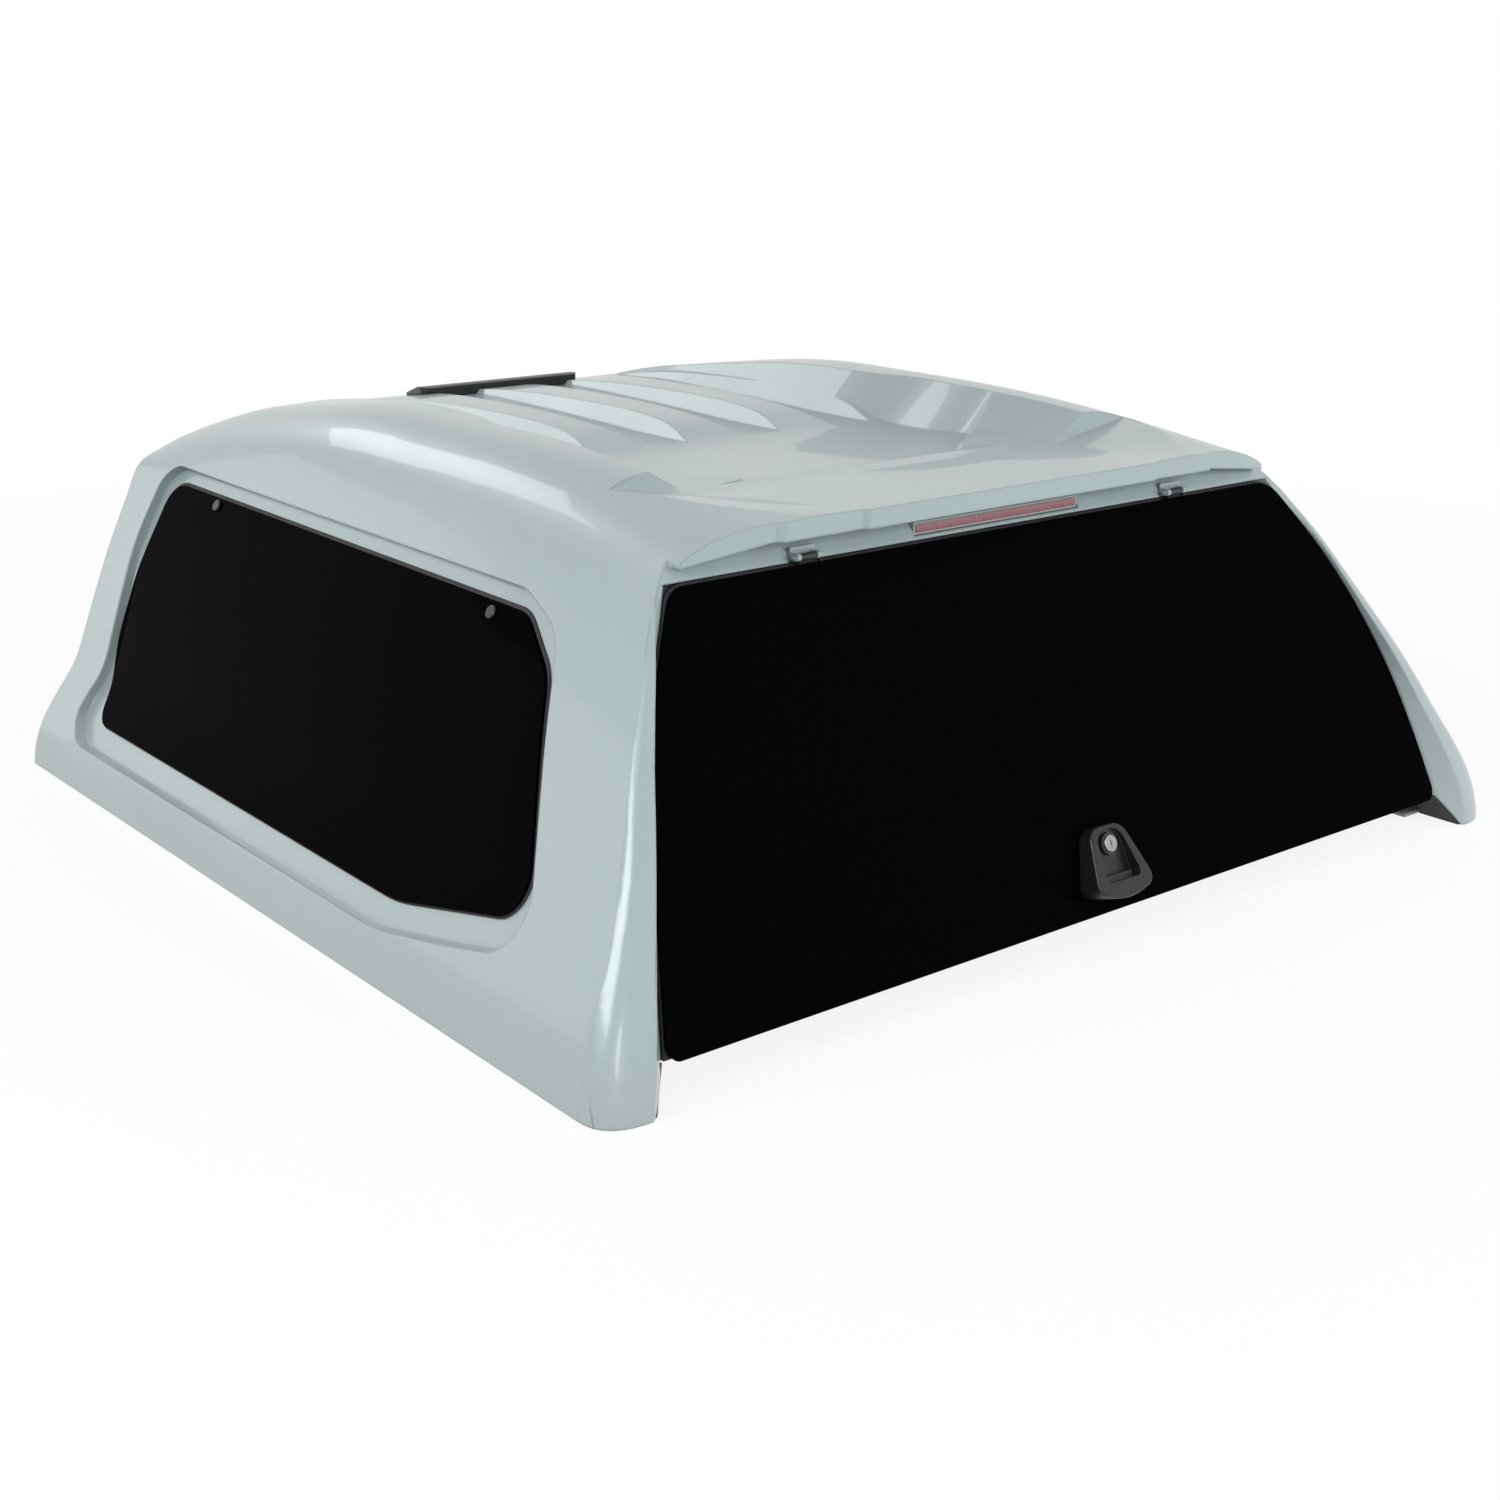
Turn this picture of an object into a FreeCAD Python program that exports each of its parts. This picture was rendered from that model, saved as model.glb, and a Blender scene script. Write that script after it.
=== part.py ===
import FreeCAD, Part
import math
import os

V = FreeCAD.Vector

# Overall form, millimetres. X is across, Y points to the front, Z is up, the floor is Z = 0.
FRONT_Y = 812.0
REAR_Y = -811.0
WALL = 7.0

# Outer side section: half width and height, at the front and at the rear.
SIDE_FRONT = [(792, 0), (784, 45), (752, 102), (716, 150), (690, 208), (643, 326), (603, 412), (579, 460)]
SIDE_REAR = [(829, 0), (824, 45), (803, 102), (776, 150), (745, 208), (684, 326), (634, 412), (604, 460)]

# Roof without its trough: along the body, the height of the shoulder crests and of the crown between them.
ROOF_LINE = [
    (812, 489, 511),
    (790, 504, 521),
    (760, 518, 533),
    (690, 540, 552),
    (600, 561, 568),
    (450, 583, 588),
    (300, 600, 604),
    (150, 604, 608),
    (0, 604, 608),
    (-150, 601, 606),
    (-300, 592, 598),
    (-450, 577, 585),
    (-560, 564, 575),
    (-640, 557, 574),
    (-860, 545, 572),
]
SHOULDER_X = 452.0
CROWN_X = 318.0

# Roof trough between the shoulders: along the body, half width of its floor and height of the floor.
TROUGH = [
    (830, 330, 524),
    (760, 330, 534),
    (690, 330, 545),
    (600, 330, 558),
    (450, 330, 568),
    (300, 330, 571),
    (150, 330, 567),
    (90, 330, 559),
    (35, 330, 545),
    (-20, 330, 541),
    (-100, 330, 543),
    (-200, 300, 547),
    (-301, 265, 551),
]
TROUGH_SLOPE = 1.0

# Panel between the trough and the lip: along the body, floor half width, floor height, half width at its top.
REAR_PANEL = [
    (-150, 339, 556, 393),
    (-328, 338, 557.5, 401),
    (-345, 335, 558, 470),
    (-415, 313, 563, 443),
    (-583, 276, 570.5, 388),
    (-660, 252, 573, 365),
]

# Rear pillars: the raked curve of their rear edges, Y against Z.
RIDGE = [(REAR_Y, 0), (-806, 43), (-786, 104), (-746, 190), (-708, 266), (-666, 337), (-634, 393), (-609, 434)]
RIDGE += [(-579, 478), (-553, 515), (-538, 535), (-500, 585), (-420, 680)]
RIDGE_HALF = [(766, 0), (757, 43), (741, 104), (711, 190), (682, 266), (651, 337), (625, 393), (606, 434)]
RIDGE_HALF += [(584, 478), (564, 515), (551, 535)]
CORNER_DEPTH = 0.8
FRONT_ROUND = 22.0

# Slanting inner edge of the pillar feet: half width at the base, height and half width at its top.
FOOT_BASE = 761.0
FOOT_TOP = (730.0, 45.0)
FOOT_FRONT = -735.0
FOOT_SEAL = 5.0

# Rear door glass: a sheet bowed to the rear.
GLASS_LOW = (-780.0, 51.0)
GLASS_TOP = (-563.0, 508.0)
GLASS_BOW = 14.0
GLASS_THICK = 5.0
GLASS_HALF = [(724, 43), (708, 122), (691, 199), (675, 258), (651, 325), (617, 400), (577, 466), (548, 508)]
GLASS_CORNER = 40.0
GLASS_FOOT = 16.0
GLASS_GAP = 4.0
DOOR_FLANGE = 34.0
FLANGE_SHIFT = 12.0
FLANGE_DEEP = 9.0
SEAL_GAP = 0.5
SEAL_PLAY = 2.5
SEAL_IN = 22.0

# Base flange.
FLANGE_HALF = 722.0
FLANGE_THICK = 6.0

# Side windows, in the side view (Y, Z).
SIDE_GLASS = [(634, 98, 45), (688, 202, 160), (691, 310, 200), (672, 449, 40), (-335, 441, 70), (-424, 388, 90)]
SIDE_GLASS += [(-557, 149, 40), (-300, 100, 300)]
SIDE_RECESS = [(655, 62, 55), (705, 106, 45), (689, 168, 120), (714, 364, 300), (692, 478, 50), (-330, 472, 90)]
SIDE_RECESS += [(-428, 438, 90), (-597, 122, 60), (-440, 90, 200), (-290, 64, 300)]
REVEAL_DEPTH = 10.0
SIDE_THICK = 4.0
WINDOW_FLANGE = 22.0
SEAL_BED = 2.0
CAP_Z = 443.0
CAP_FRONT_Y = 510.0
CAP_REAR_Y = -268.0

# Front window.
FRONT_GLASS = [(-560, 118, 45), (560, 118, 45), (470, 420, 45), (-470, 420, 45)]
FRONT_FLANGE = 20.0
FRONT_THICK = 4.0

# Roof flutes.
FLUTE_PITCH = 180.0
FLUTE_HALF = 36.0
FLUTE_SLOPE = 1.0
FLUTE_LINE = [(740, 546), (690, 545), (600, 550), (450, 551), (300, 549), (150, 545), (35, 545), (-30, 545)]
FLUTE_OUTER_DROP = 2.5

# Roof vent.
VENT_HALF = 157.0
VENT_REAR = 612.0
VENT_FRONT = 688.0
VENT_HIGH = 11.0

# Rear lip.
LIP_HALF = 534.0
LIP_STEP_HALF = 391.0
LIP_MID_HALF = 270.0
LIP_LOW = 527.0
LIP_MID_LOW = 546.0
LIP_END_Y = -560.0
LIP_MID_Y = -590.0

# Brake light in the header under the lip.
LAMP_HALF = 148.0
LAMP_HIGH = 12.0
LAMP_Y = -539.0
LAMP_Z = 525.0

# Lock on the glass: outline of its base, lower and upper height of the front face, barrel.
LOCK_Z = 118.0
LOCK_UP = 8.0
LOCK_OUTLINE = [(-54, -52, 16), (0, -66, 120), (54, -52, 16), (30, 32, 22), (-30, 32, 22)]
LOCK_POCKET = [(-34, -40, 9), (34, -40, 9), (22, 27, 20), (-22, 27, 20)]
LOCK_LOW = 40.0
LOCK_HIGH = 19.0
LOCK_FACE = 15.0
BUTTON_R = 11.0
BUTTON_TRAVEL = 0.005

# Door hinges under the lip.
HEADER_LOW = 512.0
HINGE_X = 340.0
HINGE_Y = -562.0
HINGE_Z = 518.5
HINGE_PIN_R = 2.2
KNUCKLE_R = 4.6
KNUCKLE_HALF = 12.0
LEAF_THICK = 2.5
NOTCH_Y = -549.0

# Gap between pieces that touch.
SEAT = 0.3

# Height that every cutting tool of the roof reaches.
TOOL_TOP = 640.0


def lerp(a, b, t):
    return a + (b - a) * t


def table(rows, x):
    """Straight-line reading of a table of (value, x) pairs in rising x."""
    if x <= rows[0][1]:
        return rows[0][0]
    for (v0, x0), (v1, x1) in zip(rows, rows[1:]):
        if x <= x1:
            return lerp(v0, v1, (x - x0) / (x1 - x0))
    return rows[-1][0]


def roof_heights(y):
    """Height of the shoulder crest and of the crown between the shoulders at a place along the body."""
    rows = sorted(ROOF_LINE)
    return table([(r[1], r[0]) for r in rows], y), table([(r[2], r[0]) for r in rows], y)


def section(y, inset=0.0):
    """Half section of the outer skin at y: points from the base up to the middle of the roof."""
    t = (FRONT_Y - y) / (FRONT_Y - REAR_Y)
    crest, crown = roof_heights(y)
    pts = []
    for (xf, z), (xr, _) in zip(SIDE_FRONT, SIDE_REAR):
        pts.append((lerp(xf, xr, t), z))
    top_x, top_z = pts[-1]
    pts.append((lerp(top_x, SHOULDER_X, 0.22), lerp(top_z, crest, 0.42)))
    pts.append((lerp(top_x, SHOULDER_X, 0.52), lerp(top_z, crest, 0.78)))
    pts.append((SHOULDER_X, crest))
    pts.append((lerp(SHOULDER_X, CROWN_X, 0.5), lerp(crest, crown, 0.55)))
    pts.append((CROWN_X, lerp(crest, crown, 0.85)))
    pts.append((CROWN_X * 0.5, lerp(crest, crown, 0.97)))
    pts.append((0.0, crown))
    if not inset:
        return pts
    out = []
    for i, (x, z) in enumerate(pts):
        if i == 0:
            out.append((x - inset, z))
            continue
        if i == len(pts) - 1:
            out.append((x, z - inset))
            continue
        dx, dz = pts[i + 1][0] - pts[i - 1][0], pts[i + 1][1] - pts[i - 1][1]
        n = math.hypot(dx, dz)
        out.append((x - inset * dz / n, z + inset * dx / n))
    return out


def skin_x(y, z):
    """Half width of the side skin at a height."""
    return table(section(y)[:9], z)


def crown_z(y, x):
    """Height of the roof without its trough at a half width."""
    rows = [(h, -w) for w, h in section(y)[7:]]
    return table(rows, -x)


def skin_wire(y, inset=0.0, low=-20.0):
    half = section(y, inset)
    half[0] = (half[0][0], low)
    pts = [V(-x, y, z) for x, z in half] + [V(x, y, z) for x, z in reversed(half[:-1])]
    n = len(pts) - 1
    curve = Part.BSplineCurve()
    curve.interpolate(Points=pts, Parameters=[i / n for i in range(n + 1)])
    base = Part.makeLine(pts[-1], pts[0])
    return Part.Wire([curve.toShape(), base])


def body_form(inset=0.0, front=FRONT_Y, rear=-900.0, low=-20.0):
    """The closed form of the canopy, or of its inside when inset."""
    stations = [front, 790, 760, 690, 600, 450, 300, 150, 0, -150, -300, -450, -560, -640, rear]
    stations = [s for s in stations if s <= front]
    if stations[1] > front - 12:
        del stations[1]
    wires = [skin_wire(y, inset, low) for y in stations]
    return Part.makeLoft(wires, True, False)


def extrude_x(points, x0, x1):
    pts = [V(x0, y, z) for y, z in points]
    return Part.Face(Part.makePolygon(pts + [pts[0]])).extrude(V(x1 - x0, 0, 0))


def spline_face_x(curve_points, far_points, x0, x1):
    """A solid across X whose one side follows a smooth curve of (Y, Z) points."""
    pts = [V(x0, y, z) for y, z in curve_points]
    curve = Part.BSplineCurve()
    curve.interpolate(pts)
    rest = [pts[-1]] + [V(x0, y, z) for y, z in far_points] + [pts[0]]
    wire = Part.Wire([curve.toShape()] + Part.makePolygon(rest).Edges)
    return Part.Face(wire).extrude(V(x1 - x0, 0, 0))


def ridge_curve(shift=0.0):
    pts = [(y + shift, z) for y, z in RIDGE]
    return [(pts[0][0] - 2, -60.0)] + pts


def behind_ridge(shift=0.0):
    """Everything to the rear of the pillars' edge curve."""
    return spline_face_x(ridge_curve(shift), [(-1200, 680), (-1200, -60)], -1000, 1000)


def glass_points(shift=0.0, count=9):
    """Points of the rear glass in the side view, shifted to the front along its normal."""
    (y0, z0), (y1, z1) = GLASS_LOW, GLASS_TOP
    length = math.hypot(y1 - y0, z1 - z0)
    ny, nz = (z1 - z0) / length, -(y1 - y0) / length
    out = []
    for i in range(-1, count + 2):
        t = i / count
        bow = GLASS_BOW * 4 * t * (1 - t)
        out.append((lerp(y0, y1, t) + ny * (shift - bow), lerp(z0, z1, t) + nz * (shift - bow)))
    return out


def behind_glass(shift):
    """Everything to the rear of the glass curve, shifted to the front by shift."""
    pts = glass_points(shift)
    (y0, z0), (y1, z1) = pts[0], pts[1]
    first = (y0 + (y0 - y1) * 0.5, z0 + (z0 - z1) * 0.5)
    (y2, z2), (y3, z3) = pts[-2], pts[-1]
    last = (y3 + (y3 - y2) * 3.0, z3 + (z3 - z2) * 3.0)
    return spline_face_x([first] + pts + [last], [(-1200, last[1]), (-1200, first[1])], -1000, 1000)


def glass_sheet(front, back):
    """A bowed sheet across the whole width, between two shifts along the glass normal."""
    a = glass_points(back)
    b = glass_points(front)
    ca = Part.BSplineCurve()
    ca.interpolate([V(-900, y, z) for y, z in a])
    cb = Part.BSplineCurve()
    cb.interpolate([V(-900, y, z) for y, z in b])
    e1 = Part.makeLine(V(-900, *a[-1]), V(-900, *b[-1]))
    e2 = Part.makeLine(V(-900, *b[0]), V(-900, *a[0]))
    wire = Part.Wire([ca.toShape(), e1, cb.toShape(), e2])
    return Part.Face(wire).extrude(V(1800, 0, 0))


def door_outline(grow=0.0, low=None, high=None):
    """Outline of the rear glass seen from behind, grown sideways and up, as a face at y = -1200."""
    rows = [(x + grow, z) for x, z in GLASS_HALF]
    z0 = GLASS_HALF[0][1] - grow if low is None else low
    z1 = GLASS_HALF[-1][1] + grow if high is None else high
    k = (GLASS_HALF[-1][0] - GLASS_HALF[-2][0]) / (GLASS_HALF[-1][1] - GLASS_HALF[-2][1])
    k0 = (GLASS_HALF[1][0] - GLASS_HALF[0][0]) / (GLASS_HALF[1][1] - GLASS_HALF[0][1])
    rows[0] = (rows[0][0] + k0 * (z0 - rows[0][1]), z0)
    rows[-1] = (rows[-1][0] + k * (z1 - rows[-1][1]), z1)
    curve = Part.BSplineCurve()
    curve.interpolate([V(x, -1200, z) for x, z in rows])
    left = Part.BSplineCurve()
    left.interpolate([V(-x, -1200, z) for x, z in rows])
    top = Part.makeLine(V(rows[-1][0], -1200, z1), V(-rows[-1][0], -1200, z1))
    base = Part.makeLine(V(-rows[0][0], -1200, z0), V(rows[0][0], -1200, z0))
    return Part.Face(Part.Wire([curve.toShape(), top, left.toShape(), base]))


def rounded_wire(points, place):
    """A closed wire through corner points (a, b, radius), each rounded; place turns (a, b) into a vector."""
    n = len(points)
    cuts = []
    for i in range(n):
        (ax, ay, _), (bx, by, radius), (cx, cy, _) = points[i - 1], points[i], points[(i + 1) % n]
        l1, l2 = math.hypot(ax - bx, ay - by), math.hypot(cx - bx, cy - by)
        u1, u2 = ((ax - bx) / l1, (ay - by) / l1), ((cx - bx) / l2, (cy - by) / l2)
        dot = max(-1.0, min(1.0, u1[0] * u2[0] + u1[1] * u2[1]))
        half = math.acos(dot) / 2
        t = min(radius / math.tan(half), 0.46 * l1, 0.46 * l2)
        r = t * math.tan(half)
        m = math.hypot(u1[0] + u2[0], u1[1] + u2[1])
        mid = r / math.sin(half) - r
        apex = (bx + (u1[0] + u2[0]) / m * mid, by + (u1[1] + u2[1]) / m * mid)
        cuts.append(((bx + u1[0] * t, by + u1[1] * t), apex, (bx + u2[0] * t, by + u2[1] * t)))
    edges = []
    for i in range(n):
        a, m, b = (place(*p) for p in cuts[i])
        edges.append(Part.Arc(a, m, b).toShape())
        edges.append(Part.makeLine(b, place(*cuts[(i + 1) % n][0])))
    return Part.Wire(edges)


def rounded_prism(points, place, along):
    return Part.Face(rounded_wire(points, place)).extrude(along)


def door_prism(grow, radius, low=None, high=None, depth=1000, foot=0.0):
    """The door outline swept along Y with its upper corners rounded, and its lower ones where foot is given."""
    prism = door_outline(grow, low, high).extrude(V(0, depth, 0))
    top = prism.BoundBox.ZMax
    long_edges = [e for e in prism.Edges if e.BoundBox.YLength > depth * 0.9]
    prism = prism.makeFillet(radius, [e for e in long_edges if e.BoundBox.ZMin > top - 1])
    if not foot:
        return prism
    base = prism.BoundBox.ZMin
    long_edges = [e for e in prism.Edges if e.BoundBox.YLength > depth * 0.9]
    return prism.makeFillet(foot, [e for e in long_edges if e.BoundBox.ZMax < base + 1])


def ridge_y(z):
    return table(RIDGE, z)


def return_cutter():
    """The slanting reveal between the pillar edges and the rear glass."""
    wires = []
    levels = [0, 43, 104, 190, 266, 337, 393, 434, 478, HEADER_LOW]
    for z in levels:
        yr = ridge_y(z)
        hg = table(GLASS_HALF, z) + GLASS_GAP
        hr = max(table(RIDGE_HALF, z), hg + 2.0)
        yg = glass_y(z) + 8
        slope = (hr - hg) / max(yg - yr, 4.0)
        y_far = -1000.0
        pts = [V(hg, yg + 30, z), V(hg, yg, z), V(hr, yr, z), V(hr + slope * (yr - y_far), y_far, z)]
        pts += [V(-p.x, p.y, p.z) for p in reversed(pts)]
        wires.append(Part.makePolygon(pts + [pts[0]]))
    first = wires[0].copy()
    first.translate(V(0, 0, -20))
    return Part.makeLoft([first] + wires, True, True)


def corner_cutter(side):
    """What the rounding between side skin and pillar edge takes away, growing wider to the base."""
    wires = []
    for z in [-20, 0, 43, 104, 190, 266, 337, 393, 434, 478, 515, 545]:
        yr = ridge_y(max(z, 0))
        hr = table(RIDGE_HALF, max(z, 0))
        wide = max(skin_x(yr, max(z, 0)) - hr, 6.0)
        deep = wide * CORNER_DEPTH
        out = skin_x(yr + deep, max(z, 0)) + 0.6
        corner = (skin_x(yr, max(z, 0)) + 0.6, yr - 0.3)
        start, end = (out, yr + deep), (corner[0] - wide, yr - 0.3)
        curve = Part.BSplineCurve()
        pts = []
        for i in range(7):
            t = i / 6
            a, b, c = (1 - t) ** 2, 2 * t * (1 - t), t * t
            x = a * start[0] + b * corner[0] + c * end[0]
            y = a * start[1] + b * corner[1] + c * end[1]
            pts.append(V(side * x, y, z))
        curve.interpolate(Points=pts, Parameters=[i / 6 for i in range(7)])
        rest = [pts[-1], V(pts[-1].x, -1000, z), V(side * 1000, -1000, z), V(side * 1000, pts[0].y, z), pts[0]]
        wires.append(Part.Wire([curve.toShape()] + Part.makePolygon(rest).Edges))
    return Part.makeLoft(wires, True, False)


def foot_half(z):
    """Half width of the slanting inner edge of the pillar feet at a height."""
    return lerp(FOOT_BASE, FOOT_TOP[0], z / FOOT_TOP[1])


def foot_cutter():
    """The room below the glass between the two pillar feet."""
    pts = [(foot_half(-10), -10), (foot_half(FOOT_TOP[1]), FOOT_TOP[1])]
    pts += [(-x, z) for x, z in reversed(pts)]
    wire = [V(x, -1000, z) for x, z in pts]
    return Part.Face(Part.makePolygon(wire + [wire[0]])).extrude(V(0, FOOT_FRONT + 1000, 0))


def foot_seal(side):
    """The rubber strip on the slanting inner edge of one pillar foot, where the tailgate closes."""
    wires = []
    for z in (0.5, FOOT_TOP[1] - 1.0):
        edge = foot_half(z)
        slack = (table(RIDGE_HALF, z) - edge) / (table(RIDGE_HALF, z) - GLASS_HALF[0][0] - GLASS_GAP)
        back = lerp(ridge_y(z), glass_y(z) + 8, slack) + 1.0
        pts = [(edge - FOOT_SEAL, back + 2), (edge, back), (edge, FOOT_FRONT - 3), (edge - FOOT_SEAL, FOOT_FRONT - 3)]
        wire = [V(side * x, y, z) for x, y in pts]
        wires.append(Part.makePolygon(wire + [wire[0]]))
    return Part.makeLoft(wires, True, True)


def glass_y(z):
    """Y of the outer face of the rear glass at a height."""
    rows = [(y, zz) for y, zz in glass_points(0.0)]
    return table(rows, z)


def outline_yz(points, x0, x1):
    """A prism across X from side-view corner points, with rounded corners."""
    return rounded_prism(points, lambda y, z: V(x0, y, z), V(x1 - x0, 0, 0))


def grown(points, d):
    """Corner points (a, b, radius) moved outward by d, inward when negative."""
    n = len(points)
    area = sum(points[i][0] * points[(i + 1) % n][1] - points[(i + 1) % n][0] * points[i][1] for i in range(n))
    sign = 1.0 if area > 0 else -1.0
    out = []
    for i in range(n):
        (ax, ay, _), (bx, by, r), (cx, cy, _) = points[i - 1], points[i], points[(i + 1) % n]
        l1, l2 = math.hypot(bx - ax, by - ay), math.hypot(cx - bx, cy - by)
        n1 = (sign * (by - ay) / l1, -sign * (bx - ax) / l1)
        n2 = (sign * (cy - by) / l2, -sign * (cx - bx) / l2)
        k = 1 + n1[0] * n2[0] + n1[1] * n2[1]
        out.append((bx + d * (n1[0] + n2[0]) / k, by + d * (n1[1] + n2[1]) / k, max(r + d, 6.0)))
    return out


def trapezoid(y, floor, top, drop, x=0.0):
    """A closed trough section between floor (half width, height) and top, set back from its skin by drop."""
    length = math.hypot(top[0] - floor[0], top[1] - floor[1])
    c, s = (top[0] - floor[0]) / length, (top[1] - floor[1]) / length
    low = floor[1] - drop
    half = floor[0] + drop * (1 - c) / s
    wide = top[0] + drop * s + WALL * c
    high = top[1] - drop * c + WALL * s
    pts = [V(x - half, y, low), V(x + half, y, low), V(x + wide, y, high), V(x + wide, y, TOOL_TOP)]
    pts += [V(x - wide, y, TOOL_TOP), V(x - wide, y, high)]
    return Part.makePolygon(pts + [pts[0]])


def above_floor(rows, drop, half):
    """Everything above a floor line of (y, z) points, set below it by drop."""
    line = [(y, z - drop) for y, z in rows]
    return spline_face_x(line, [(line[-1][0], TOOL_TOP), (line[0][0], TOOL_TOP)], -half, half)


def between_walls(rows, slope, drop, x=0.0):
    """The space between two sloping walls that stand on a floor line of (y, half width, z) points."""
    c, s = 1 / math.hypot(1, slope), slope / math.hypot(1, slope)
    base = min(z for y, half, z in rows) - drop - 2.0
    wires = []
    for y, half, z in rows:
        foot = half + drop * (1 - c) / s
        low = foot - (z - drop - base) / slope
        high = foot + (TOOL_TOP - z + drop) / slope
        pts = [V(x - low, y, base), V(x + low, y, base), V(x + high, y, TOOL_TOP), V(x - high, y, TOOL_TOP)]
        wires.append(Part.makePolygon(pts + [pts[0]]))
    return Part.makeLoft(wires, True, False)


def roof_trough(drop):
    """The trough between the shoulders, set back by drop so that the inside follows the outside."""
    floor = above_floor([(y, z) for y, half, z in TROUGH], drop, 700)
    return floor.common(between_walls(TROUGH, TROUGH_SLOPE, drop))


def rear_panel(drop):
    """The shallow faceted panel between the trough and the lip."""
    wires = []
    for y, half, z, top_half in REAR_PANEL:
        wires.append(trapezoid(y, (half, z), (top_half, max(crown_z(y, top_half), z + 1.0)), drop))
    return Part.makeLoft(wires, True, True)


def flute_cutter(x, floor_drop, drop):
    """One flute: a floor that runs out onto the trough behind the ribs, with walls at an even slope."""
    rows = [(y, FLUTE_HALF, z - floor_drop) for y, z in FLUTE_LINE]
    floor = above_floor([(y, z) for y, half, z in rows], drop, 700)
    return floor.common(between_walls(rows, FLUTE_SLOPE, drop, x))


def lip_space():
    """The space that the raised lip across the rear of the roof may fill behind the raked rear face."""
    plan = [(-LIP_HALF, LIP_END_Y), (-LIP_STEP_HALF - 8, LIP_END_Y - 12), (-LIP_STEP_HALF, LIP_END_Y - 20)]
    plan += [(-LIP_MID_HALF, LIP_MID_Y + 6), (-LIP_MID_HALF + 6, LIP_MID_Y)]
    plan += [(-x, y) for x, y in reversed(plan)]
    plan += [(LIP_HALF, -400), (-LIP_HALF, -400)]
    pts = [V(x, y, LIP_LOW) for x, y in plan]
    solid = Part.Face(Part.makePolygon(pts + [pts[0]])).extrude(V(0, 0, 90))
    below = [(-LIP_HALF - 5, LIP_LOW), (-LIP_STEP_HALF - 15, LIP_MID_LOW - 2), (-LIP_MID_HALF, LIP_MID_LOW)]
    below += [(-x, z) for x, z in reversed(below)]
    below += [(LIP_HALF + 5, LIP_LOW - 50), (-LIP_HALF - 5, LIP_LOW - 50)]
    pts = [V(x, -700, z) for x, z in below]
    return solid.cut(Part.Face(Part.makePolygon(pts + [pts[0]])).extrude(V(0, 400, 0)))


def flutes(drop):
    """All the roof flutes."""
    tools = []
    for k in (-1.5, -0.5, 0.5, 1.5):
        floor_drop = FLUTE_OUTER_DROP if abs(k) > 1 else 0.0
        tools.append(flute_cutter(k * FLUTE_PITCH, floor_drop, drop))
    return tools


def roof_tools(drop):
    return [roof_trough(drop), rear_panel(drop)] + flutes(drop)


def front_edges(solid):
    """The edge between the front wall and the skin, without the straight base edge."""
    found = []
    for e in solid.Edges:
        b = e.BoundBox
        if b.YMin > FRONT_Y - 1 and b.ZMax > 50:
            found.append(e)
    return found


def shell_outer():
    form = body_form()
    form = form.makeFillet(FRONT_ROUND, front_edges(form))
    form = form.common(Part.makeBox(3000, 3000, 1000, V(-1500, -1500, 0)))
    return form.cut(behind_ridge().cut(lip_space()))


def outer_shell():
    """The one-piece hollow moulding: skin, roof flutes, lip, pillars, window recesses and base flange."""
    outer = shell_outer().cut(roof_tools(0.0))
    outer = outer.cut([corner_cutter(-1), corner_cutter(1)])
    outer = outer.cut(return_cutter())
    inner = body_form(WALL, front=FRONT_Y - WALL)
    inner = inner.cut([behind_glass(FLANGE_SHIFT + FLANGE_DEEP)] + roof_tools(WALL))
    inner = inner.common(Part.makeBox(3000, 3000, 1000, V(-1500, -1500, FLANGE_THICK)))
    body = outer.cut([inner, base_opening()])
    body = body.fuse(door_frame())
    body = body.cut([door_opening(), foot_cutter()])
    for side in (-1, 1):
        body = body.fuse(window_recess(side))
        body = body.cut(window_mouth(side))
    body = body.cut(front_mouth())
    body = body.cut([notch(side) for side in (-1, 1)] + [lamp_pocket()])
    return body.removeSplitter()


def door_frame():
    """The flange that closes the rear around the door opening, one wall behind the glass."""
    sheet = glass_sheet(FLANGE_SHIFT + FLANGE_DEEP, FLANGE_SHIFT)
    frame = sheet.common(body_form(3.0, low=0.0)).cut(behind_ridge(2.0))
    return frame.common(Part.makeBox(2000, 2000, 540, V(-1000, -1200, 1)))


def door_opening():
    """The rear opening, open at the base where the tailgate of the vehicle closes it."""
    opening = door_prism(-DOOR_FLANGE, GLASS_CORNER, low=-40.0, depth=1000)
    return opening.common(Part.makeBox(2000, 400, 700, V(-1000, -900, -60)))


def side_slab(side, near, far):
    """The space between two insets from the side skin, on one side of the body."""
    x0 = 0.0 if side > 0 else -1000.0
    box = Part.makeBox(1000, 2000, 488, V(x0, -1000, 20))
    a = body_form(near, low=-5.0)
    b = body_form(far, low=-5.0)
    return a.cut(b).common(box)


def window_recess(side):
    """Reveal and flange that carry the side glass."""
    x0, x1 = (400, 900) if side > 0 else (-900, -400)
    floor = REVEAL_DEPTH + SIDE_THICK + SEAL_BED
    ring = outline_yz(grown(SIDE_RECESS, 6), x0, x1)
    wall = ring.cut(outline_yz(grown(SIDE_RECESS, -1), x0, x1))
    return side_slab(side, floor, floor + 5).common(ring).fuse(side_slab(side, 2.0, floor + 5).common(wall))


def window_mouth(side):
    x0, x1 = (400, 900) if side > 0 else (-900, -400)
    pocket = outline_yz(grown(SIDE_RECESS, -1), x0, x1)
    pocket = pocket.cut(body_form(REVEAL_DEPTH + SIDE_THICK + SEAL_BED))
    return pocket.fuse(outline_yz(grown(SIDE_GLASS, -WINDOW_FLANGE), x0, x1))


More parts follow.
